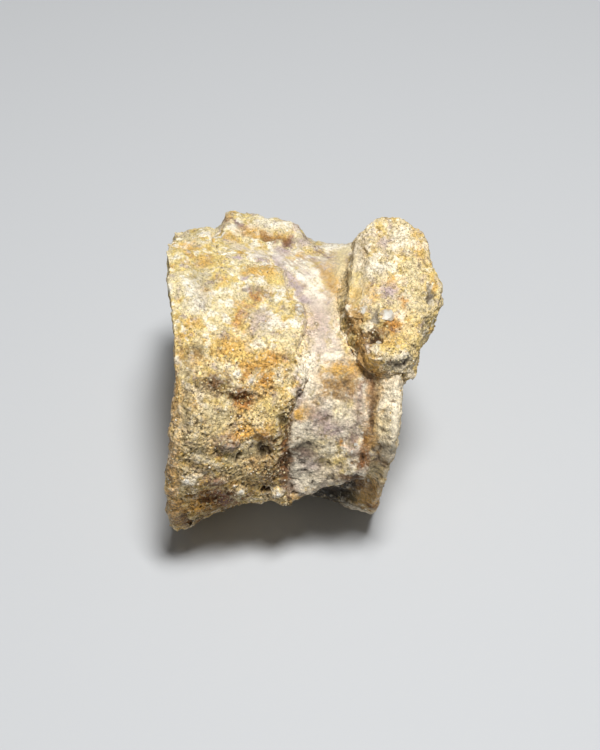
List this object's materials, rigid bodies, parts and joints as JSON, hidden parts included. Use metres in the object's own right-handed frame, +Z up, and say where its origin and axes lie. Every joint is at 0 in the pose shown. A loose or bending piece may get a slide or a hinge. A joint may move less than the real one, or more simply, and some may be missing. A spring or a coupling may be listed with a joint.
{
  "type": "fossil crocodile vertebra",
  "caption": "Fossil centrum of a crocodile vertebra, spool-shaped with dished ends, a rib boss, broken arch roots and a keel, lying on its flank with sandy matrix on it.",
  "frame": {"origin": "on the ground, under the middle of the bone as it lies", "axes": "+X towards the front end of the bone, +Y towards its back where the neural arch stood, +Z up through its right flank"},
  "size_m": [0.0475, 0.0543, 0.0508],
  "materials": {
    "bone": "mineralised bone, smooth to fibrous, slightly glossy",
    "crust": "rough cemented sand",
    "grit": "rough cemented grit with small crystals"
  },
  "bodies": {
    "root": {"vertebra_bone": "bone", "matrix_crust": "crust", "boss_cap": "grit"}
  },
  "joints": []
}
